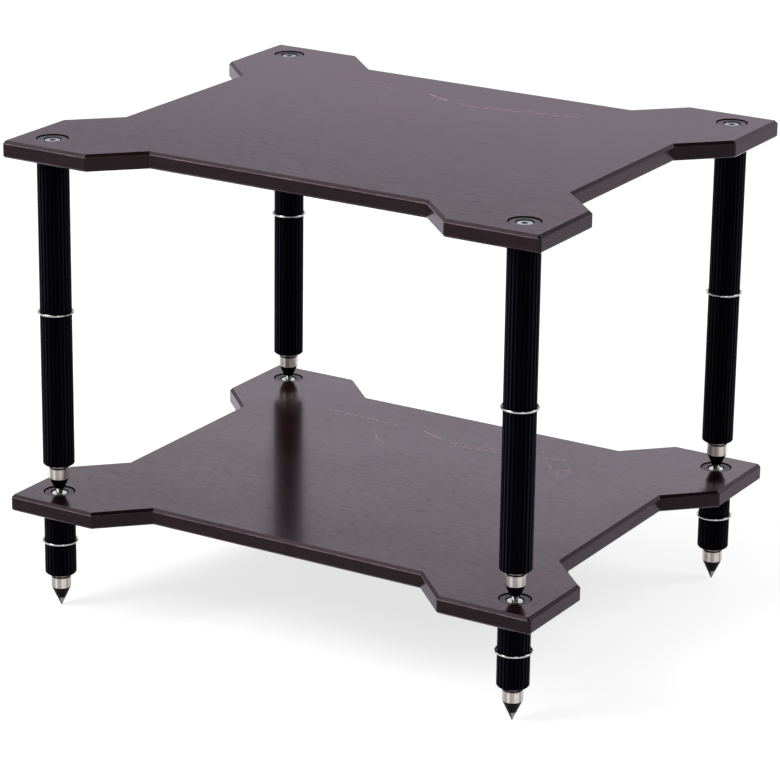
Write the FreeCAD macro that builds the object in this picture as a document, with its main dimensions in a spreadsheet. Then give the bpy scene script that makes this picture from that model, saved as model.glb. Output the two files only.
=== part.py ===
# Two-tier audio rack: notched wooden shelves on fluted legs that stand on levelling spikes.
# +X runs along the front, +Y to the back, +Z up. The origin is on the floor under the middle of the rack.
import FreeCAD, Part
import Sketcher
import os

# Driving dimensions: millimetres, degrees where the name ends in angle, or a plain count.
SIZES = {
    # shelf outline, edges and leg places
    "shelf_length": 600,
    "shelf_depth": 500,
    "shelf_thickness": 17,
    "ear_length": 100,
    "notch_depth": 44.5,
    "shelf_top_bevel": 3,
    "top_corner_radius": 0.4,
    "shelf_bottom_bevel": 1.4,
    "bevel_rounding": 0.9,
    "leg_inset": 35.5,
    # fluted legs and the wire ring round the middle of each
    "long_leg_length": 322,
    "short_leg_length": 71,
    "leg_diameter": 32,
    "leg_bore": 22,
    "leg_end_chamfer": 1.2,
    "flute_count": 24,
    "flute_radius": 1.6,
    "flute_depth": 1,
    "ring_wire": 2.5,
    "ring_clearance": 0.1,
    "ring_split_angle": 4,
    "ring_turn_angle": 232,
    # cap disc and cap screw at each shelf corner
    "disc_diameter": 30.4,
    "disc_web": 2.2,
    "disc_chamfer": 0.5,
    "disc_recess": 1,
    "disc_side_gap": 1,
    "head_diameter": 16,
    "head_height": 6,
    "head_chamfer": 0.6,
    "head_recess": 0.8,
    "head_side_gap": 1,
    "socket_width": 6,
    "socket_depth": 4.5,
    "screw_diameter": 10,
    "screw_hole_gap": 0.25,
    "screw_engagement": 16,
    # threaded plugs in the leg ends
    "top_plug_length": 22,
    "bottom_plug_length": 26,
    "plug_play": 0.05,
    # levelling spikes
    "lock_ring_thickness": 2.5,
    "lock_ring_play": 0.1,
    "lock_gap": 1.5,
    "collar_diameter": 20.4,
    "collar_height": 10.8,
    "collar_chamfer": 0.4,
    "cone_height": 21.1,
    "tip_height": 10,
    "tip_flat": 1,
    "tip_pin_diameter": 4,
    "tip_pin_length": 5,
    "pin_play": 0.03,
    "stud_diameter": 10,
    "stud_engagement": 20,
    "stud_clearance": 0.1,
    "seat_clearance": 0.3,
}

# Sizes that follow from the driving dimensions, as expressions.
HALF_LENGTH = "rack.shelf_length / 2"
HALF_DEPTH = "rack.shelf_depth / 2"
LEG_X = f"({HALF_LENGTH} - rack.leg_inset)"
LEG_Y = f"({HALF_DEPTH} - rack.leg_inset)"
LEG_RADIUS = "rack.leg_diameter / 2"
SCREW_HOLE_RADIUS = "(rack.screw_diameter / 2 + rack.screw_hole_gap)"
CORNER_RADIUS = "(rack.shelf_top_bevel + rack.top_corner_radius)"
DISC_THICKNESS = "(rack.head_recess + rack.head_height + rack.disc_web)"
DISC_POCKET_DEPTH = f"(rack.disc_recess + {DISC_THICKNESS})"
HEAD_TOP_DEPTH = "(rack.disc_recess + rack.head_recess)"
RING_SPACE = "(rack.lock_ring_play + rack.lock_ring_thickness)"
COLLAR_TOP = "(rack.cone_height + rack.collar_height)"
SPIKE_HEIGHT = f"({COLLAR_TOP} + rack.lock_gap + {RING_SPACE})"
TIP_RADIUS = (
    "(rack.tip_flat / 2 + (rack.collar_diameter - rack.tip_flat) / 2"
    " * rack.tip_height / rack.cone_height)"
)

# The four corners of the rack as signs of X and Y.
CORNERS = {
    "front_left": (-1, -1),
    "front_right": (1, -1),
    "back_right": (1, 1),
    "back_left": (-1, 1),
}

doc = FreeCAD.newDocument("audio_rack")
sheet = doc.addObject("Spreadsheet::Sheet", "rack")
for row, (alias, value) in enumerate(SIZES.items(), start=1):
    sheet.set(f"A{row}", alias)
    sheet.set(f"B{row}", str(value))
    sheet.setAlias(f"B{row}", alias)
doc.recompute()


def number(expression):
    return float(sheet.evalExpression(expression))


def origin_feature(body, role):
    return next(f for f in body.Origin.OriginFeatures if f.Role == role)


def new_sketch(body, plane, name):
    sketch = body.newObject("Sketcher::SketchObject", name)
    sketch.AttachmentSupport = [(origin_feature(body, plane), "")]
    sketch.MapMode = "FlatFace"
    return sketch


def bind(sketch, kind, where, expression):
    """Adds a dimension to a sketch and ties it to an expression."""
    index = sketch.addConstraint(Sketcher.Constraint(kind, *where, number(expression)))
    sketch.setExpression(f"Constraints[{index}]", expression)


def outline_sketch(body, plane, name, corners):
    """A closed outline of straight sides through corners, each an (across, up) pair of expressions."""
    sketch = new_sketch(body, plane, name)
    places = [FreeCAD.Vector(number(across), number(up), 0) for across, up in corners]
    for start, end in zip(places, places[1:] + places[:1]):
        sketch.addGeometry(Part.LineSegment(start, end))
    for side in range(len(corners)):
        following = (side + 1) % len(corners)
        sketch.addConstraint(Sketcher.Constraint("Coincident", side, 2, following, 1))
    for side, (across, up) in enumerate(corners):
        bind(sketch, "DistanceX", (-1, 1, side, 1), across)
        bind(sketch, "DistanceY", (-1, 1, side, 1), up)
    return sketch


def circle_sketch(body, plane, name, centres, radius):
    """Equal circles round centres, each an (across, up) pair of expressions."""
    sketch = new_sketch(body, plane, name)
    for index, (across, up) in enumerate(centres):
        middle = FreeCAD.Vector(number(across), number(up), 0)
        normal = FreeCAD.Vector(0, 0, 1)
        sketch.addGeometry(Part.Circle(middle, normal, number(radius)))
        bind(sketch, "DistanceX", (-1, 1, index, 3), across)
        bind(sketch, "DistanceY", (-1, 1, index, 3), up)
        bind(sketch, "Radius", (index,), radius)
    return sketch


def turned_body(label, corners):
    """A body turned about its Z axis, from corners given as (radius, height) pairs of expressions."""
    body = doc.addObject("PartDesign::Body", label)
    revolution = body.newObject("PartDesign::Revolution", label + "_turning")
    revolution.Profile = outline_sketch(body, "XZ_Plane", label + "_profile", corners)
    revolution.ReferenceAxis = (origin_feature(body, "Z_Axis"), [""])
    revolution.Angle = 360
    body.Tip = revolution
    return body


def add_feature(body, kind, name, sketch, length=None):
    """A pad or pocket of a sketch: as deep as length, or upwards through everything without one."""
    before = 0 if body.Shape.isNull() else body.Shape.Volume
    feature = body.newObject(kind, name)
    feature.Profile = sketch
    if length:
        feature.setExpression("Length", length)
    else:
        feature.Type = "ThroughAll"
        feature.Reversed = True
    body.Tip = feature
    doc.recompute()
    if body.Shape.Volume == before:
        raise RuntimeError(f"{name} changed nothing")
    return feature


def dress_edges(body, kind, name, size, wanted):
    """A fillet or chamfer of the edges that wanted picks from the body's last feature."""
    base = body.Tip
    picked = [f"Edge{i}" for i, edge in enumerate(base.Shape.Edges, start=1) if wanted(edge)]
    feature = body.newObject(kind, name)
    feature.Base = (base, picked)
    feature.setExpression("Radius" if kind.endswith("Fillet") else "Size", size)
    body.Tip = feature
    doc.recompute()


def place(piece, corner, level):
    """Puts a piece on a corner's leg axis, or on the rack's own axis, at a level."""
    sign_x, sign_y = CORNERS.get(corner, (0, 0))
    piece.setExpression("Placement.Base.x", f"{sign_x} * {LEG_X}")
    piece.setExpression("Placement.Base.y", f"{sign_y} * {LEG_Y}")
    piece.setExpression("Placement.Base.z", level)
    return piece


def group(label, members):
    compound = doc.addObject("Part::Compound", label)
    compound.Links = members
    return compound


def shelf_corners():
    """The shelf's outline anticlockwise: five points for each corner's ear."""
    half_x = HALF_LENGTH
    half_y = HALF_DEPTH
    ear_x = f"({half_x} - rack.ear_length)"
    ear_y = f"({half_y} - rack.ear_length)"
    ear = [
        (f"({half_x} - rack.notch_depth)", f"({ear_y} - rack.notch_depth)"),
        (half_x, ear_y),
        (half_x, half_y),
        (ear_x, half_y),
        (f"({ear_x} - rack.notch_depth)", f"({half_y} - rack.notch_depth)"),
    ]
    corners = []
    for sign_x, sign_y in ((1, 1), (-1, 1), (-1, -1), (1, -1)):
        points = [(f"{sign_x} * {across}", f"{sign_y} * {up}") for across, up in ear]
        corners += points if sign_x == sign_y else points[::-1]
    return corners


def edges_at(level):
    """Picks the edges that lie flat at a level."""
    height = number(level)
    return lambda edge: all(abs(vertex.Z - height) < edge.Tolerance for vertex in edge.Vertexes)


def upright_ear_edges():
    """Picks a board's upright edges at its outer sides, which are the convex ones."""
    half_x = number(HALF_LENGTH)
    half_y = number(HALF_DEPTH)

    def wanted(edge):
        first, last = edge.Vertexes[0], edge.Vertexes[-1]
        upright = abs(first.X - last.X) < edge.Tolerance and abs(first.Y - last.Y) < edge.Tolerance
        reach = (abs(first.X) - half_x, abs(first.Y) - half_y)
        return upright and max(reach) > -edge.Tolerance

    return wanted


def make_shelf(label, bottom):
    """A board with ears at its corners, bevelled all round, and a stepped hole over each leg."""
    body = doc.addObject("PartDesign::Body", label)
    outline = outline_sketch(body, "XY_Plane", label + "_outline", shelf_corners())
    add_feature(body, "PartDesign::Pad", label + "_board", outline, "rack.shelf_thickness")
    dress_edges(body, "PartDesign::Fillet", label + "_corners", CORNER_RADIUS, upright_ear_edges())
    dress_edges(body, "PartDesign::Chamfer", label + "_top_bevel", "rack.shelf_top_bevel",
                edges_at("rack.shelf_thickness"))
    dress_edges(body, "PartDesign::Chamfer", label + "_bottom_bevel", "rack.shelf_bottom_bevel",
                edges_at("0"))
    dress_edges(body, "PartDesign::Fillet", label + "_bevel_rounding", "rack.bevel_rounding",
                edges_at("rack.shelf_thickness - rack.shelf_top_bevel"))
    centres = [(f"{sign_x} * {LEG_X}", f"{sign_y} * {LEG_Y}") for sign_x, sign_y in CORNERS.values()]
    pockets = circle_sketch(body, "XY_Plane", label + "_disc_circles", centres,
                            "rack.disc_diameter / 2 + rack.disc_side_gap")
    pockets.setExpression("AttachmentOffset.Base.z", "rack.shelf_thickness")
    add_feature(body, "PartDesign::Pocket", label + "_disc_pockets", pockets, DISC_POCKET_DEPTH)
    holes = circle_sketch(body, "XY_Plane", label + "_screw_circles", centres, SCREW_HOLE_RADIUS)
    add_feature(body, "PartDesign::Pocket", label + "_screw_holes", holes)
    return place(body, None, bottom)


def make_leg(label, corner, bottom, length):
    """A tube with chamfered ends and flutes along its whole length."""
    body = turned_body(label, [
        ("rack.leg_bore / 2", "0"),
        (f"{LEG_RADIUS} - rack.leg_end_chamfer", "0"),
        (LEG_RADIUS, "rack.leg_end_chamfer"),
        (LEG_RADIUS, f"{length} - rack.leg_end_chamfer"),
        (f"{LEG_RADIUS} - rack.leg_end_chamfer", length),
        ("rack.leg_bore / 2", length),
    ])
    doc.recompute()
    centre = f"{LEG_RADIUS} - rack.flute_depth + rack.flute_radius"
    circle = circle_sketch(body, "XY_Plane", label + "_flute_circle", [(centre, "0")], "rack.flute_radius")
    flute = add_feature(body, "PartDesign::Pocket", label + "_flute", circle)
    flutes = body.newObject("PartDesign::PolarPattern", label + "_flutes")
    flutes.Originals = [flute]
    flutes.Axis = (origin_feature(body, "Z_Axis"), [""])
    flutes.Angle = 360
    flutes.setExpression("Occurrences", "rack.flute_count")
    body.Tip = flutes
    return place(body, corner, bottom)


def make_leg_ring(label, corner, middle):
    """A split ring of round wire that grips the leg's crests."""
    ring = doc.addObject("Part::Torus", label)
    ring.setExpression("Radius1", f"{LEG_RADIUS} + rack.ring_clearance + rack.ring_wire / 2")
    ring.setExpression("Radius2", "rack.ring_wire / 2")
    ring.setExpression("Angle3", "360 - rack.ring_split_angle")
    ring.Placement.Rotation.Axis = FreeCAD.Vector(0, 0, 1)
    ring.setExpression("Placement.Rotation.Angle", "rack.ring_turn_angle")
    return place(ring, corner, middle)


def make_cap_disc(label, corner, shelf_top):
    """A disc with a stepped hole for the cap screw. Its own top is at height zero."""
    radius = "rack.disc_diameter / 2"
    pocket_radius = "(rack.head_diameter / 2 + rack.head_side_gap)"
    pocket_floor = "-(rack.head_recess + rack.head_height)"
    body = turned_body(label, [
        (SCREW_HOLE_RADIUS, f"-{DISC_THICKNESS}"),
        (radius, f"-{DISC_THICKNESS}"),
        (radius, "-rack.disc_chamfer"),
        (f"{radius} - rack.disc_chamfer", "0"),
        (pocket_radius, "0"),
        (pocket_radius, pocket_floor),
        (SCREW_HOLE_RADIUS, pocket_floor),
    ])
    return place(body, corner, f"{shelf_top} - rack.disc_recess")


def make_cap_screw(label, corner, shelf_top):
    """A screw with a flat head and a hexagon socket. The head's top is at height zero."""
    head_radius = "rack.head_diameter / 2"
    wood = f"(rack.shelf_thickness - {DISC_POCKET_DEPTH})"
    end = f"-(rack.head_height + rack.disc_web + {wood} + rack.screw_engagement)"
    body = turned_body(label, [
        ("0", end),
        ("rack.screw_diameter / 2", end),
        ("rack.screw_diameter / 2", "-rack.head_height"),
        (head_radius, "-rack.head_height"),
        (head_radius, "-rack.head_chamfer"),
        (f"{head_radius} - rack.head_chamfer", "0"),
        ("0", "0"),
    ])
    doc.recompute()
    reach = "rack.socket_width / 2 / cos(30)"
    hexagon = [(f"{reach} * cos({angle})", f"{reach} * sin({angle})") for angle in range(0, 360, 60)]
    socket = outline_sketch(body, "XY_Plane", label + "_hexagon", hexagon)
    add_feature(body, "PartDesign::Pocket", label + "_socket", socket, "rack.socket_depth")
    return place(body, corner, f"{shelf_top} - {HEAD_TOP_DEPTH}")


def make_plug(label, corner, bottom, length, bore_radius):
    """A threaded plug that fills one end of a leg's bore."""
    radius = "(rack.leg_bore / 2 - rack.plug_play)"
    body = turned_body(label, [(bore_radius, "0"), (radius, "0"), (radius, length), (bore_radius, length)])
    return place(body, corner, bottom)


def make_lock_ring(label, corner, leg_bottom):
    """The thin round nut under a leg's end."""
    radius = "rack.collar_diameter / 2"
    bore = "(rack.stud_diameter / 2 + rack.stud_clearance)"
    body = turned_body(label, [
        (bore, "0"),
        (f"{radius} - rack.collar_chamfer", "0"),
        (radius, "rack.collar_chamfer"),
        (radius, "rack.lock_ring_thickness"),
        (bore, "rack.lock_ring_thickness"),
    ])
    return place(body, corner, f"{leg_bottom} - {RING_SPACE}")


def make_spike_collar(label, corner, tip):
    """The sleeve that sits on the cone and grips its stud."""
    radius = "rack.collar_diameter / 2"
    bore = "(rack.stud_diameter / 2 + rack.pin_play)"
    body = turned_body(label, [
        (bore, "0"),
        (radius, "0"),
        (radius, "rack.collar_height - rack.collar_chamfer"),
        (f"{radius} - rack.collar_chamfer", "rack.collar_height"),
        (bore, "rack.collar_height"),
    ])
    return place(body, corner, f"{tip} + rack.cone_height")


def make_spike_cone(label, corner, tip):
    """The cone and the stud above it in one piece, with a blind hole for the tip's pin."""
    pin_radius = "(rack.tip_pin_diameter / 2 + rack.pin_play)"
    pin_top = "(rack.tip_height + rack.tip_pin_length)"
    stud_top = f"({SPIKE_HEIGHT} + rack.stud_engagement)"
    body = turned_body(label, [
        ("0", pin_top),
        (pin_radius, pin_top),
        (pin_radius, "rack.tip_height"),
        (TIP_RADIUS, "rack.tip_height"),
        ("rack.collar_diameter / 2", "rack.cone_height"),
        ("rack.stud_diameter / 2", "rack.cone_height"),
        ("rack.stud_diameter / 2", stud_top),
        ("0", stud_top),
    ])
    return place(body, corner, tip)


def make_spike_tip(label, corner, tip):
    """The steel point, held in the cone by its pin."""
    pin_radius = "rack.tip_pin_diameter / 2"
    pin_top = "(rack.tip_height + rack.tip_pin_length)"
    body = turned_body(label, [
        ("0", "0"),
        ("rack.tip_flat / 2", "0"),
        (TIP_RADIUS, "rack.tip_height"),
        (pin_radius, "rack.tip_height"),
        (pin_radius, pin_top),
        ("0", pin_top),
    ])
    return place(body, corner, tip)


def make_tier(tier, tip, leg_length):
    """One tier, with its spike tips at a level. Returns its pieces and the level of its shelf's top."""
    leg_bottom = f"({tip} + {SPIKE_HEIGHT})"
    leg_top = f"({leg_bottom} + {leg_length})"
    shelf_top = f"({leg_top} + rack.shelf_thickness)"
    stud_bore = "(rack.stud_diameter / 2 + rack.stud_clearance)"
    screw_bore = "(rack.screw_diameter / 2 + rack.plug_play)"
    nodes = [make_shelf(f"{tier}_shelf", leg_top)]
    discs, screws, top_plugs, bottom_plugs = [], [], [], []
    for corner in CORNERS:
        nodes += [
            make_leg(f"{tier}_leg_{corner}", corner, leg_bottom, leg_length),
            make_leg_ring(f"{tier}_leg_ring_{corner}", corner, f"{leg_bottom} + {leg_length} / 2"),
            make_lock_ring(f"{tier}_lock_ring_{corner}", corner, leg_bottom),
            make_spike_collar(f"{tier}_spike_collar_{corner}", corner, tip),
            make_spike_cone(f"{tier}_spike_cone_{corner}", corner, tip),
            make_spike_tip(f"{tier}_spike_tip_{corner}", corner, tip),
        ]
        discs.append(make_cap_disc(f"{tier}_cap_disc_{corner}", corner, shelf_top))
        screws.append(make_cap_screw(f"{tier}_cap_screw_{corner}", corner, shelf_top))
        top_plugs.append(make_plug(f"{tier}_top_plug_{corner}", corner,
                                   f"{leg_top} - rack.top_plug_length", "rack.top_plug_length", screw_bore))
        bottom_plugs.append(make_plug(f"{tier}_bottom_plug_{corner}", corner,
                                      leg_bottom, "rack.bottom_plug_length", stud_bore))
    nodes += [
        group(f"{tier}_cap_discs", discs),
        group(f"{tier}_cap_screws", screws),
        group(f"{tier}_leg_top_plugs", top_plugs),
        group(f"{tier}_leg_bottom_plugs", bottom_plugs),
    ]
    return nodes, shelf_top


def check(nodes):
    doc.recompute()
    for item in doc.Objects:
        if "Invalid" in item.State or "Error" in item.State:
            raise RuntimeError(f"{item.Name} failed: {item.State}")
    for node in nodes:
        if node.Shape.isNull() or not node.Shape.isValid():
            raise RuntimeError(f"{node.Label} has no valid shape")


lower_nodes, lower_top = make_tier("lower", "0", "rack.short_leg_length")
seat = f"({lower_top} - {HEAD_TOP_DEPTH} - rack.socket_depth + rack.seat_clearance)"
upper_nodes, upper_top = make_tier("upper", seat, "rack.long_leg_length")
all_nodes = lower_nodes + upper_nodes
check(all_nodes)

os.makedirs("parts", exist_ok=True)
for node in all_nodes:
    node.Shape.exportStep(f"parts/{node.Label}.step")
print(len(all_nodes), "nodes, height", round(number(upper_top), 3))
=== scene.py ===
import math

import bpy
from mathutils import Matrix, Vector


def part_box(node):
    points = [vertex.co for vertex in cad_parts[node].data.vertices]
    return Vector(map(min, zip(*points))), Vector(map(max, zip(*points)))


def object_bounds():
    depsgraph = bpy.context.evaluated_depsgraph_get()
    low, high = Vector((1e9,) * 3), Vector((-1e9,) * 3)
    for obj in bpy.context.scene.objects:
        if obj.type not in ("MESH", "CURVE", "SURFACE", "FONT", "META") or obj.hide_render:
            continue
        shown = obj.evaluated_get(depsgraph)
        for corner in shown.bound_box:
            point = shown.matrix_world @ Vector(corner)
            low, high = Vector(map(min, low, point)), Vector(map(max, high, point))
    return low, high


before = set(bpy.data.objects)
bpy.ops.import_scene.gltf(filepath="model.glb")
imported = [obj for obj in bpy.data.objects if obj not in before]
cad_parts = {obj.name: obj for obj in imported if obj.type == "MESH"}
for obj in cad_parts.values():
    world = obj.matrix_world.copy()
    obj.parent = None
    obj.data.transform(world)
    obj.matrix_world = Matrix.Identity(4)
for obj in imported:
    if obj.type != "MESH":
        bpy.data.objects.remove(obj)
cad_low, cad_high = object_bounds()

MM = 0.001
TIERS = ("lower", "upper")
CORNERS = ("front_left", "front_right", "back_right", "back_left")

# A leg's axis, and the radii that the finishes are set out from
leg_low, leg_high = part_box("upper_leg_back_right")
LEG_AXIS = (leg_low + leg_high) / 2
LEG_RADIUS = (leg_high.x - leg_low.x) / 2
collar_low, collar_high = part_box("upper_spike_collar_front_right")
COLLAR_RADIUS = (collar_high.x - collar_low.x) / 2
DISC_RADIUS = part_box("upper_cap_discs")[1].x - LEG_AXIS.x
HEAD_RADIUS = 8 * MM

# Camera, fitted to corners and tips in the photograph
FOCAL_PIXELS = 3442.7
IMAGE_PIXELS = 780
SENSOR_WIDTH = 36.0
CAMERA_PLACE = Vector((1.7017, -2.8482, 1.3541))
CAMERA_AIM = Vector((0.0013, -0.0086, 0.2230))
CAMERA_ROLL = math.radians(0.757)
CAMERA_REACH = 100.0

# Light: what the surroundings shed, and what the camera and reflections see of them
AMBIENT = 0.42
SKY_COLOUR = (1.0, 0.98, 0.99, 1.0)
HORIZON_LEVEL = 0.97
# Steps up the sky, as sines of the elevation where each starts and ends, and the level above it:
# a dimmer wall, a bright band and a dark ceiling
SKY_STEPS = (
    (0.12, 0.20, 0.66),
    (0.27, 0.33, 1.95),
    (0.40, 0.46, 0.10),
)
FLOOR_GREY = 0.55
FLOOR_LIFT = 0.72
FLOOR_SIZE = 40.0
# Lamps, aimed at the rack's middle: name, place, width and length, watts
LAMPS = (
    ("left_front", (-1.75, -2.50, 2.60), (0.9, 1.6), 38.0),
    ("right_back", (2.20, 1.65, 2.40), (0.9, 1.6), 18.0),
    ("right_front", (2.40, -2.25, 2.40), (0.5, 1.3), 9.0),
    ("top", (-1.45, -1.00, 2.70), (1.6, 1.6), 30.0),
)

# Where painted light goes, over some rubbing: the two flanks of each leg, left and right as seen from
# the front-right, one of which the floor tips' painted reflection shares, and the shelves' edges that
# face the front and the front-left lamp
PAINTED_LIGHT_FLANK = Vector((0.86, 0.51, 0.0))
HIGHLIGHT_AND_WORN_SIDE = Vector((-0.50, -0.87, 0.0))

# The veneer's noise, as features to the metre along the grain and across it, its relief and its colours
FIGURE = (2.4, 15, 15)
STREAKS = (11, 520, 520)
PORES = (75, 1250, 1250)
FLECKS = (58, 560, 560)
VENEER_DEPTH = 0.02 * MM
STAIN_DARK = (0.0064, 0.0028, 0.0030, 1)
STAIN_LIGHT = (0.0102, 0.0044, 0.0047, 1)
STREAK_COLOUR = (0.060, 0.0190, 0.0210, 1)
PORE_COLOUR = (0.0035, 0.0019, 0.0021, 1)
FLECK_COLOUR = (0.0028, 0.0016, 0.0019, 1)
RUBBED_AND_HIGHLIGHT_COLOUR = (0.30, 0.240, 0.240, 1)
SCUFF_COLOUR = (0.64, 0.36, 0.35, 1)

# The shelves' edges: the heights of the bevels, how far from their feet the worn lacquer and the
# painted highlight line start and are full, and the noise that makes them patchy
TOP_BEVEL = 3.0 * MM
BOTTOM_BEVEL = 1.4 * MM
TOP_HIGHLIGHT_WEAR = 0.50 * MM
BOTTOM_HIGHLIGHT_WEAR = 0.8 * MM
FULL_HIGHLIGHT_WEAR = 0.20 * MM
HIGHLIGHT_WEAR_PATCHES = (38, 38, 38)

# The lacquer's clouds and its shine, and how much of that is lost over the grain, on the edges and
# towards the front, where each tier's shelf is used most
CLOUDS = (7, 9, 9)
SHINE = 0.290
STREAK_LOSS = 0.048
PORE_LOSS = 0.06
FLECK_LOSS = 0.085
EDGE_LOSS = 0.090
FRONT_LOSS = {"lower": 0.090, "upper": 0.135}
FRONT_START = 0.20
FRONT_END = -0.22

# Scuffs through the lacquer, in millimetres on the shelf's top: start, end, strength on the lower
# shelf and on the upper one
SCUFFS = (
    ((-170, 149), (-124, 148), 0.55, 0.22),
    ((-124, 148), (-80, 144), 0.60, 0.28),
    ((-48, 144.5), (-19, 133), 1.00, 0.90),
    ((-6, 127), (30, 132), 0.65, 0.35),
    ((3, 122), (41, 127.5), 0.70, 0.40),
    ((30, 132), (78, 142), 0.60, 0.40),
    ((41, 127.5), (83, 136.5), 0.72, 0.42),
    ((78, 142), (124, 151.5), 0.55, 0.38),
    ((83, 136.5), (128, 146), 0.65, 0.40),
    ((-92, 116), (-78, 97), 0.55, 0.25),
    ((-78, 97), (-66, 90), 0.65, 0.20),
    ((113, 128), (122, 117), 0.80, 0.0),
    ((132, 113), (140, 98), 0.65, 0.0),
    ((138, 117), (141, 125), 1.00, 0.0),
    ((141, 125), (144, 114), 0.90, 0.0),
)
SCUFF_WIDTH = 1.35 * MM
SCUFF_WANDER = 7.0 * MM
SCUFF_GAPS = (210, 360, 0)
SCUFF_WAVES = (42, 42, 0)

# The legs: lines as features to the radian round the axis and to the metre outwards and up, dust,
# how far below the flutes' crests the rubbing and the painted highlight start and are full, and the
# colours
LEG_LINES = (85, 3000, 4)
LINE_DEPTH = 0.012 * MM
LEG_DUST = (160, 160, 60)
CREST_START = 0.25 * MM
CREST_FULL = 0.05 * MM
BLACK_DEEP = (0.0004, 0.0003, 0.0008, 1)
BLACK_DUSTY = (0.0010, 0.0008, 0.0016, 1)
BLACK_RUBBED_HIGHLIGHT = (0.0225, 0.0205, 0.0320, 1)

# The chrome wire's dull patches and its fine grain
WIRE_PATCHES = (420, 420, 420)
WIRE_GRAIN = (1500, 1500, 1500)
WIRE_DEPTH = 0.006 * MM

# Turned metal: its rings and rubbing, how far inside a rim the wear starts and is full, and the
# painted reflection streaks on nickel
RINGS = (900, 2600, 2600)
RING_DEPTH = 0.010 * MM
RING_STRENGTH = 0.45
RUBBING = (240, 240, 240)
RIM_START = 0.9 * MM
RIM_FULL = 0.3 * MM
REFLECTION_STREAKS = (1.9, 1.9, 0.0)
NICKEL_REFLECTION_STREAK = (0.22, 0.197, 0.184, 1)

# The floor tips: radii between which the black turns to a painted reflection of bright steel, and that
# to the black point, and how ragged these bounds are
REFLECTION_START = 5.3 * MM
REFLECTION_FULL = 4.6 * MM
POINT_START = 2.4 * MM
POINT_FULL = 1.5 * MM
RAGGED = 1.2 * MM
RAGGED_NOISE = (320, 320, 320)


def grey(value):
    return (value, value, value, 1.0)


class Nodes:
    """A node tree, built one call at a time: a call that adds nodes gives the last one's socket."""

    def __init__(self, tree):
        self.tree = tree

    def feed(self, socket, value):
        """Links a socket to another, or sets it to a plain value."""
        if isinstance(value, bpy.types.NodeSocket):
            self.tree.links.new(value, socket)
        else:
            socket.default_value = value

    def add(self, kind, inputs, output=0, **options):
        node = self.tree.nodes.new(kind)
        for option, value in options.items():
            setattr(node, option, value)
        for socket, value in inputs.items():
            self.feed(node.inputs[socket], value)
        return node.outputs[output]

    def math(self, operation, first, second=0.0, third=0.0):
        return self.add("ShaderNodeMath", {0: first, 1: second, 2: third}, operation=operation)

    def vector(self, operation, first, second=(0.0, 0.0, 0.0)):
        output = "Value" if operation in ("LENGTH", "DOT_PRODUCT") else "Vector"
        return self.add("ShaderNodeVectorMath", {0: first, 1: second}, output, operation=operation)

    def scaled(self, vector, factor):
        return self.add("ShaderNodeVectorMath", {0: vector, "Scale": factor}, operation="SCALE")

    def part(self, vector, axis):
        return self.add("ShaderNodeSeparateXYZ", {0: vector}, axis)

    def joined(self, x, y, z):
        return self.add("ShaderNodeCombineXYZ", {0: x, 1: y, 2: z})

    def band(self, value, low, high, to_low=0.0, to_high=1.0):
        """Goes smoothly from to_low to to_high while the value goes from low to high."""
        inputs = {"Value": value, "From Min": low, "From Max": high, "To Min": to_low, "To Max": to_high}
        return self.add("ShaderNodeMapRange", inputs, interpolation_type="SMOOTHSTEP")

    def noise(self, place, features, detail=2.0, roughness=0.5, warp=0.0):
        """Noise with so many features to a unit of the place, mostly a metre, along x, y and z."""
        inputs = {
            "Vector": self.vector("MULTIPLY", place, features),
            "Scale": 1.0,
            "Detail": detail,
            "Roughness": roughness,
            "Distortion": warp,
        }
        return self.add("ShaderNodeTexNoise", inputs)

    def blend(self, share, first, second):
        return self.add("ShaderNodeMix", {0: share, 6: first, 7: second}, 2, data_type="RGBA")

    def blend_vectors(self, share, first, second):
        return self.add("ShaderNodeMix", {0: share, 4: first, 5: second}, 1, data_type="VECTOR")

    def blend_values(self, share, first, second):
        return self.add("ShaderNodeMix", {0: share, 2: first, 3: second})

    def seen(self):
        """1 for what the camera, a reflection or glass shows, and 0 for the light that is shed."""
        camera = self.add("ShaderNodeLightPath", {}, "Is Camera Ray")
        glossy = self.add("ShaderNodeLightPath", {}, "Is Glossy Ray")
        through = self.add("ShaderNodeLightPath", {}, "Is Transmission Ray")
        return self.math("MAXIMUM", self.math("MAXIMUM", camera, glossy), through)


class Finish(Nodes):
    """A material with one Principled surface, whose sockets are set or linked by name."""

    def __init__(self, name, settings):
        self.material = bpy.data.materials.new(name)
        self.material.use_nodes = True
        super().__init__(self.material.node_tree)
        self.surface = self.tree.nodes["Principled BSDF"]
        for socket, value in settings.items():
            self.give(socket, value)

    def give(self, socket, value):
        self.feed(self.surface.inputs[socket], value)

    def place(self):
        return self.add("ShaderNodeTexCoord", {}, "Object")

    def facing(self):
        return self.add("ShaderNodeTexCoord", {}, "Normal")

    def relief(self, height, depth, strength):
        """Bump whose height goes from 0 to 1 over so deep a step."""
        inputs = {"Height": height, "Distance": depth, "Strength": strength}
        self.give("Normal", self.add("ShaderNodeBump", inputs))

    def round_axis(self):
        """Place about the nearest leg's axis: the offset from it, the radius, the angle and the height."""
        place = self.place()
        axis = self.vector("MULTIPLY", self.vector("SIGN", place), (LEG_AXIS.x, LEG_AXIS.y, 0.0))
        offset = self.vector("MULTIPLY", self.vector("SUBTRACT", place, axis), (1.0, 1.0, 0.0))
        radius = self.vector("LENGTH", offset)
        angle = self.math("ARCTAN2", self.part(offset, "Y"), self.part(offset, "X"))
        return offset, radius, angle, self.part(place, "Z")

    def rings(self, radius, angle, z):
        """Fine lathe rings: noise that changes with radius and height, and hardly round the axis."""
        place = self.joined(self.math("MULTIPLY", angle, MM), radius, z)
        return self.noise(place, RINGS, 2.0)


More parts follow.
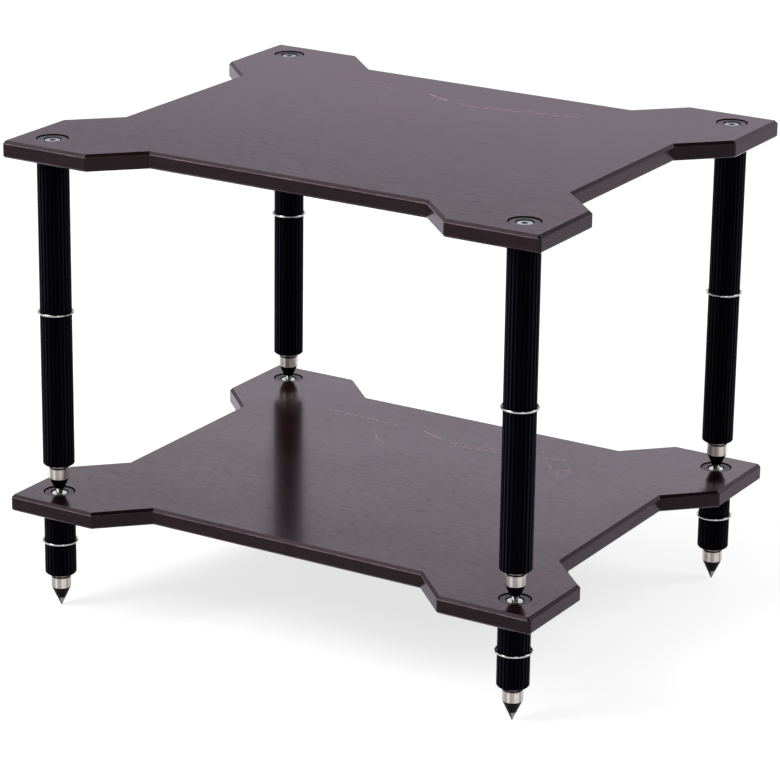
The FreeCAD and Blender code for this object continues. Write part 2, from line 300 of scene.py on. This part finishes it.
def scuff_mask(finish, place, tier):
    """How strongly a shelf's scuffs show: strokes that wander a little, broken up where not deep."""
    flat = finish.vector("MULTIPLY", place, (1.0, 1.0, 0.0))
    broken = finish.band(finish.noise(flat, SCUFF_GAPS, 3.0), 0.41, 0.54)
    waves = finish.noise(flat, SCUFF_WAVES, 2.0)
    drift = finish.math("MULTIPLY_ADD", waves, SCUFF_WANDER, -SCUFF_WANDER / 2)
    flat = finish.vector("ADD", flat, finish.joined(0.0, drift, 0.0))
    total = 0.0
    for start, end, *strengths in SCUFFS:
        strength = strengths[TIERS.index(tier)]
        if strength == 0.0:
            continue
        start = Vector((*start, 0.0)) * MM
        along = Vector((*end, 0.0)) * MM - start
        offset = finish.vector("SUBTRACT", flat, start)
        share = finish.vector("DOT_PRODUCT", offset, along / along.length_squared)
        held = finish.math("MINIMUM", finish.math("MAXIMUM", share, 0.0), 1.0)
        gap = finish.vector("LENGTH", finish.vector("SUBTRACT", offset, finish.scaled(along, held)))
        stroke = finish.band(gap, SCUFF_WIDTH, SCUFF_WIDTH / 4, 0.0, strength)
        total = finish.math("MAXIMUM", stroke, total)
    deep = finish.band(total, 0.80, 1.00, 0.0, 0.75)
    return finish.math("MAXIMUM", finish.math("MULTIPLY", total, broken), deep)


def stained_wood(tier):
    """Dark stained veneer under satin lacquer, its grain along the shelf's length."""
    low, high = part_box(f"{tier}_shelf")
    finish = Finish(f"stained_wood_{tier}_shelf", {
        "Specular Tint": (1.0, 0.80, 0.86, 1.0),
        "Coat Weight": 1.0,
        "Coat IOR": 1.03,
        "Coat Tint": (0.974, 0.930, 0.985, 1.0),
    })
    place = finish.place()
    facing = finish.facing()
    x, y, z = (finish.part(place, axis) for axis in "XYZ")
    # On the ends the grain runs along the shelf's depth
    end_face = finish.band(finish.math("ABSOLUTE", finish.part(facing, "X")), 0.75, 0.85)
    top_face = finish.band(finish.part(facing, "Z"), 0.80, 0.98)
    grain = finish.blend_vectors(end_face, place, finish.joined(y, x, z))

    figure = finish.noise(grain, FIGURE, 4.0, 0.55, 0.8)
    streaks = finish.noise(grain, STREAKS, 3.0, 0.6)
    pores = finish.band(finish.noise(grain, PORES, 1.0, 0.4), 0.58, 0.68)
    flecks = finish.band(finish.noise(grain, FLECKS, 0.0), 0.745, 0.79)
    flecks = finish.math("MULTIPLY", flecks, top_face)

    stain = finish.blend(finish.band(figure, 0.32, 0.68), STAIN_DARK, STAIN_LIGHT)
    # The streaks are fainter on the edges, and redder patches follow the figure
    streak_share = finish.band(streaks, 0.44, 0.72, 0.0, 0.55)
    streak_share = finish.math("MULTIPLY", streak_share, finish.band(top_face, 0.0, 1.0, 0.4, 1.0))
    streak_share = finish.math("MULTIPLY", streak_share, finish.band(figure, 0.34, 0.66, 0.25, 1.6))
    stain = finish.blend(streak_share, stain, STREAK_COLOUR)
    stain = finish.blend(finish.math("MULTIPLY", pores, 0.50), stain, PORE_COLOUR)
    stain = finish.blend(finish.math("MULTIPLY", flecks, 0.85), stain, FLECK_COLOUR)

    # Lacquer worn thin in patches along the top bevel's foot and the lower edge, and a painted highlight
    # line there, strongest on the edges that face the front and the front-left lamp
    foot = finish.math("ABSOLUTE", finish.math("SUBTRACT", z, high.z - TOP_BEVEL))
    foot_highlight_line = finish.band(foot, TOP_HIGHLIGHT_WEAR, FULL_HIGHLIGHT_WEAR)
    base = finish.math("ABSOLUTE", finish.math("SUBTRACT", z, low.z + BOTTOM_BEVEL))
    base_highlight_line = finish.band(base, BOTTOM_HIGHLIGHT_WEAR, FULL_HIGHLIGHT_WEAR, 0.0, 0.5)
    patchy = finish.band(finish.noise(place, HIGHLIGHT_WEAR_PATCHES, 3.0, 0.6), 0.34, 0.66, 0.45, 1.0)
    highlight_and_worn_side = finish.band(finish.vector("DOT_PRODUCT", facing, HIGHLIGHT_AND_WORN_SIDE), 0.30, 0.65, 0.12, 1.0)
    rubbed_and_highlight = finish.math("MULTIPLY", finish.math("MAXIMUM", foot_highlight_line, base_highlight_line), patchy)
    rubbed_and_highlight = finish.math("MULTIPLY", rubbed_and_highlight, highlight_and_worn_side)
    # Painted highlight over the worn lacquer: a light line blended into the stain along these edges
    stain = finish.blend(finish.math("MULTIPLY", rubbed_and_highlight, 0.75), stain, RUBBED_AND_HIGHLIGHT_COLOUR)

    scuffs = finish.math("MULTIPLY", scuff_mask(finish, place, tier), top_face)
    finish.give("Base Color", finish.blend(scuffs, stain, SCUFF_COLOUR))

    # Satin in soft clouds, rougher in pores and scuffs
    rough = finish.band(finish.noise(place, CLOUDS, 1.0), 0.30, 0.72, 0.18, 0.20)
    rough = finish.math("ADD", rough, finish.math("MULTIPLY", pores, 0.05))
    finish.give("Roughness", finish.math("ADD", rough, finish.math("MULTIPLY", scuffs, 0.08)))

    # Less shine over streaks, pores and flecks, towards the front and on the edges
    loss = finish.band(streaks, 0.36, 0.68, 0.0, STREAK_LOSS)
    loss = finish.math("ADD", loss, finish.math("MULTIPLY", pores, PORE_LOSS))
    loss = finish.math("ADD", loss, finish.math("MULTIPLY", flecks, FLECK_LOSS))
    front = finish.band(y, FRONT_START, FRONT_END, 0.0, FRONT_LOSS[tier])
    loss = finish.math("ADD", loss, finish.math("MULTIPLY", front, top_face))
    loss = finish.math("ADD", loss, finish.band(top_face, 0.0, 1.0, EDGE_LOSS, 0.0))
    finish.give("Specular IOR Level", finish.math("SUBTRACT", SHINE, loss))

    height = finish.math("SUBTRACT", finish.math("MULTIPLY", streaks, 0.30), pores)
    finish.relief(height, VENEER_DEPTH, 0.10)
    return finish.material


def black_anodised():
    """Drawn black aluminium: fine lines along the leg, the crests of the flutes worn a little and painted
    lighter towards the leg's two flanks as a painted highlight.
    """
    finish = Finish("black_anodised", {
        "Specular IOR Level": 0.018,
        "Specular Tint": (0.60, 0.52, 1.0, 1.0),
    })
    offset, radius, angle, z = finish.round_axis()
    lines = finish.noise(finish.joined(angle, radius, z), LEG_LINES, 2.0)
    dust = finish.noise(finish.place(), LEG_DUST, 4.0, 0.65)
    crest = finish.band(radius, LEG_RADIUS - CREST_START, LEG_RADIUS - CREST_FULL)
    # Painted highlight: crests lighter towards the two flanks, left and right as seen from the
    # front-right, and black between
    side = finish.math("ABSOLUTE", finish.vector("DOT_PRODUCT", offset, PAINTED_LIGHT_FLANK))
    highlight_flank = finish.band(finish.math("DIVIDE", side, radius), 0.22, 0.70, 0.10, 1.0)
    rubbed_and_highlight = finish.math("MULTIPLY", crest, highlight_flank)
    rubbed_and_highlight = finish.math("MULTIPLY", rubbed_and_highlight, finish.band(lines, 0.30, 0.70, 0.55, 1.0))
    black = finish.blend(finish.band(dust, 0.35, 0.75), BLACK_DEEP, BLACK_DUSTY)
    finish.give("Base Color", finish.blend(rubbed_and_highlight, black, BLACK_RUBBED_HIGHLIGHT))
    rough = finish.band(dust, 0.30, 0.75, 0.44, 0.52)
    finish.give("Roughness", finish.math("SUBTRACT", rough, finish.math("MULTIPLY", crest, 0.14)))
    finish.relief(lines, LINE_DEPTH, 0.5)
    return finish.material


def chrome_wire():
    """Bright chromed wire with a few dull patches."""
    finish = Finish("chrome_wire", {"Metallic": 1.0})
    place = finish.place()
    patches = finish.noise(place, WIRE_PATCHES, 3.0, 0.6)
    finish.give("Base Color", finish.blend(finish.band(patches, 0.35, 0.70), grey(0.42), grey(0.56)))
    finish.give("Roughness", finish.band(patches, 0.30, 0.72, 0.17, 0.09))
    finish.relief(finish.noise(place, WIRE_GRAIN, 2.0), WIRE_DEPTH, 0.4)
    return finish.material


def turned(name, settings, dark, light, rough, rim=None, rim_colour=None, painted_shade_up=None, spun=False):
    """Metal turned on a lathe: fine rings about its axis and faint rubbing. It may have a worn rim,
    painted shade on the faces that look up, which sit in gaps between parts, and, where it is spun,
    dark streaks down its side that are painted reflections."""
    finish = Finish(name, settings)
    offset, radius, angle, z = finish.round_axis()
    rings = finish.rings(radius, angle, z)
    rubbing = finish.noise(finish.place(), RUBBING, 4.0, 0.65)
    share = finish.math("ADD", finish.math("MULTIPLY", rings, 0.6), finish.math("MULTIPLY", rubbing, 0.4))
    colour = finish.blend(finish.band(share, 0.36, 0.66), dark, light)
    if rim is not None:
        edge = finish.band(radius, rim - RIM_START, rim - RIM_FULL)
        worn = finish.math("MULTIPLY", edge, finish.band(rubbing, 0.40, 0.62))
        colour = finish.blend(finish.math("MULTIPLY", worn, 0.6), colour, rim_colour)
    if spun:
        # Painted reflection: dark streaks down the spun side stand in for reflected bands
        streaks = finish.noise(finish.vector("NORMALIZE", offset), REFLECTION_STREAKS, 2.0, 0.6)
        colour = finish.blend(finish.band(streaks, 0.36, 0.58, 0.75, 0.0), colour, NICKEL_REFLECTION_STREAK)
        finish.give("Tangent", finish.add("ShaderNodeTangent", {}, direction_type="RADIAL", axis="Z"))
    if painted_shade_up is not None:
        # Painted shade: the faces that look up sit in the gaps under the lock ring and the leg, and are
        # painted near black
        looks_up = finish.band(finish.part(finish.facing(), "Z"), 0.80, 0.95)
        colour = finish.blend(looks_up, colour, painted_shade_up)
    finish.give("Base Color", colour)
    finish.give("Roughness", finish.band(rubbing, 0.30, 0.72, *rough))
    finish.relief(rings, RING_DEPTH, RING_STRENGTH)
    return finish.material


def tip_with_painted_reflection():
    """Steel point that stands on floors: black near the cone, at the very tip and down one side, with a
    painted reflection of bright steel in between."""
    finish = Finish("steel_with_painted_reflection", {"Metallic": 1.0})
    offset, radius, angle, z = finish.round_axis()
    rings = finish.rings(radius, angle, z)
    ragged = finish.noise(finish.place(), RAGGED_NOISE, 3.0)
    reach = finish.math("ADD", radius, finish.math("MULTIPLY", ragged, RAGGED))
    painted_reflection = finish.band(reach, REFLECTION_START, REFLECTION_FULL)
    point = finish.band(reach, POINT_FULL, POINT_START, 0.15, 1.0)
    side = finish.math("DIVIDE", finish.vector("DOT_PRODUCT", offset, PAINTED_LIGHT_FLANK), radius)
    # Painted reflection: the bright band shows on one side of the tip only
    painted_reflection = finish.math("MULTIPLY", painted_reflection, finish.band(side, -0.45, -0.05))
    bright = finish.blend(finish.band(rings, 0.34, 0.66), grey(0.17), grey(0.30))
    finish.give("Base Color", finish.blend(finish.math("MULTIPLY", painted_reflection, point), grey(0.010), bright))
    finish.give("Roughness", finish.band(rings, 0.30, 0.70, 0.16, 0.26))
    finish.relief(rings, RING_DEPTH, RING_STRENGTH)
    return finish.material


def put(material, *nodes):
    for name in nodes:
        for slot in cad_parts[name].material_slots:
            slot.material = material


def at_corners(pattern, tiers=TIERS):
    return [pattern.format(tier=tier, corner=corner) for tier in tiers for corner in CORNERS]


def dress_rack():
    for tier in TIERS:
        put(stained_wood(tier), f"{tier}_shelf")
    put(black_anodised(), *at_corners("{tier}_leg_{corner}"))
    put(chrome_wire(), *at_corners("{tier}_leg_ring_{corner}"))
    discs = turned(
        "grey_anodised", {"Metallic": 1.0, "Specular Tint": (0.88, 0.83, 0.89, 1.0)},
        dark=(0.044, 0.040, 0.046, 1), light=(0.062, 0.057, 0.064, 1), rough=(0.28, 0.36),
        rim=DISC_RADIUS, rim_colour=grey(0.15))
    put(discs, "lower_cap_discs", "upper_cap_discs")
    # One steel painted two ways: neutral on the lower shelf's screws, tinted blue on the upper shelf's as
    # a painted reflection tint
    white_screws = turned(
        "bright_steel", {"Metallic": 1.0},
        dark=(0.33, 0.34, 0.335, 1), light=(0.43, 0.44, 0.435, 1), rough=(0.16, 0.24),
        rim=HEAD_RADIUS, rim_colour=grey(0.60))
    put(white_screws, "lower_cap_screws")
    upper_screws_painted_blue = turned(
        "steel_painted_blue", {"Metallic": 1.0},
        dark=(0.31, 0.32, 0.39, 1), light=(0.41, 0.42, 0.51, 1), rough=(0.16, 0.24),
        rim=HEAD_RADIUS, rim_colour=grey(0.60))
    put(upper_screws_painted_blue, "upper_cap_screws")
    put(tip_with_painted_reflection(), *at_corners("{tier}_spike_tip_{corner}", ["lower"]))
    bright_tips = turned(
        "ground_steel", {"Metallic": 1.0}, dark=grey(0.66), light=grey(0.80), rough=(0.13, 0.20))
    put(bright_tips, *at_corners("{tier}_spike_tip_{corner}", ["upper"]))
    nickel = turned(
        "satin_nickel", {"Metallic": 1.0, "Anisotropic": 0.90, "Anisotropic Rotation": 0.25},
        dark=(0.58, 0.522, 0.488, 1), light=(0.66, 0.595, 0.556, 1), rough=(0.29, 0.33),
        rim=COLLAR_RADIUS, rim_colour=(0.72, 0.65, 0.61, 1),
        # painted shade on the faces that look up, in the gaps between parts
        painted_shade_up=(0.02, 0.018, 0.018, 1), spun=True)
    put(nickel, *at_corners("{tier}_spike_collar_{corner}"), *at_corners("{tier}_lock_ring_{corner}"))
    cones = turned(
        "black_steel", {"Specular IOR Level": 0.04},
        dark=(0.0014, 0.0012, 0.0013, 1), light=(0.0036, 0.0031, 0.0033, 1), rough=(0.24, 0.34),
        rim=COLLAR_RADIUS, rim_colour=grey(0.05))
    put(cones, *at_corners("{tier}_spike_cone_{corner}"))
    plugs = turned(
        "plug_aluminium", {"Metallic": 1.0},
        dark=(0.42, 0.42, 0.43, 1), light=(0.58, 0.58, 0.60, 1), rough=(0.30, 0.40))
    put(plugs, *(f"{tier}_leg_{end}_plugs" for tier in TIERS for end in ("top", "bottom")))


def studio_world():
    """A pale horizon with the steps of the sky above it where they are seen, even light otherwise."""
    world = bpy.data.worlds.new("studio")
    world.use_nodes = True
    bpy.context.scene.world = world
    sky = Nodes(world.node_tree)
    height = sky.part(sky.add("ShaderNodeTexCoord", {}, "Generated"), "Z")
    shown = HORIZON_LEVEL
    below = HORIZON_LEVEL
    for start, end, above in SKY_STEPS:
        shown = sky.math("MULTIPLY", sky.band(height, start, end, 1.0, above / below), shown)
        below = above
    background = world.node_tree.nodes["Background"]
    sky.feed(background.inputs["Color"], SKY_COLOUR)
    sky.feed(background.inputs["Strength"], sky.blend_values(sky.seen(), AMBIENT, shown))


def pale_floor():
    """A plain pale floor that keeps the rack's soft shadow."""
    half = FLOOR_SIZE / 2
    corners = [(-half, -half, 0), (half, -half, 0), (half, half, 0), (-half, half, 0)]
    mesh = bpy.data.meshes.new("floor")
    mesh.from_pydata(corners, [], [(0, 1, 2, 3)])
    floor = bpy.data.objects.new("floor", mesh)
    bpy.context.scene.collection.objects.link(floor)
    material = bpy.data.materials.new("pale_floor")
    material.use_nodes = True
    tree = material.node_tree
    tree.nodes.remove(tree.nodes["Principled BSDF"])
    nodes = Nodes(tree)
    matt = nodes.add("ShaderNodeBsdfDiffuse", {"Color": grey(FLOOR_GREY)})
    lift = nodes.add("ShaderNodeEmission", {"Strength": nodes.math("MULTIPLY", nodes.seen(), FLOOR_LIFT)})
    both = nodes.add("ShaderNodeAddShader", {0: matt, 1: lift})
    nodes.feed(tree.nodes["Material Output"].inputs["Surface"], both)
    mesh.materials.append(material)


def softbox(name, place, size, watts):
    lamp = bpy.data.lights.new(name, "AREA")
    lamp.shape = "RECTANGLE"
    lamp.size, lamp.size_y = size
    lamp.energy = watts
    holder = bpy.data.objects.new(name, lamp)
    holder.location = place
    middle = (cad_low + cad_high) / 2
    holder.rotation_euler = (middle - Vector(place)).to_track_quat("-Z", "Y").to_euler()
    bpy.context.scene.collection.objects.link(holder)


def set_camera():
    forward = (CAMERA_AIM - CAMERA_PLACE).normalized()
    level = forward.cross(Vector((0, 0, 1))).normalized()
    upright = level.cross(forward)
    right = math.cos(CAMERA_ROLL) * level + math.sin(CAMERA_ROLL) * upright
    up = math.cos(CAMERA_ROLL) * upright - math.sin(CAMERA_ROLL) * level
    lens = bpy.data.cameras.new("camera")
    lens.sensor_width = SENSOR_WIDTH
    lens.lens = FOCAL_PIXELS / IMAGE_PIXELS * SENSOR_WIDTH
    lens.clip_end = CAMERA_REACH
    camera = bpy.data.objects.new("camera", lens)
    turn = Matrix((right, up, -forward)).transposed()
    camera.matrix_world = Matrix.Translation(CAMERA_PLACE) @ turn.to_4x4()
    bpy.context.scene.collection.objects.link(camera)
    bpy.context.scene.camera = camera


dress_rack()
studio_world()
pale_floor()
for lamp in LAMPS:
    softbox(*lamp)
set_camera()
bpy.context.scene.view_settings.view_transform = "Standard"
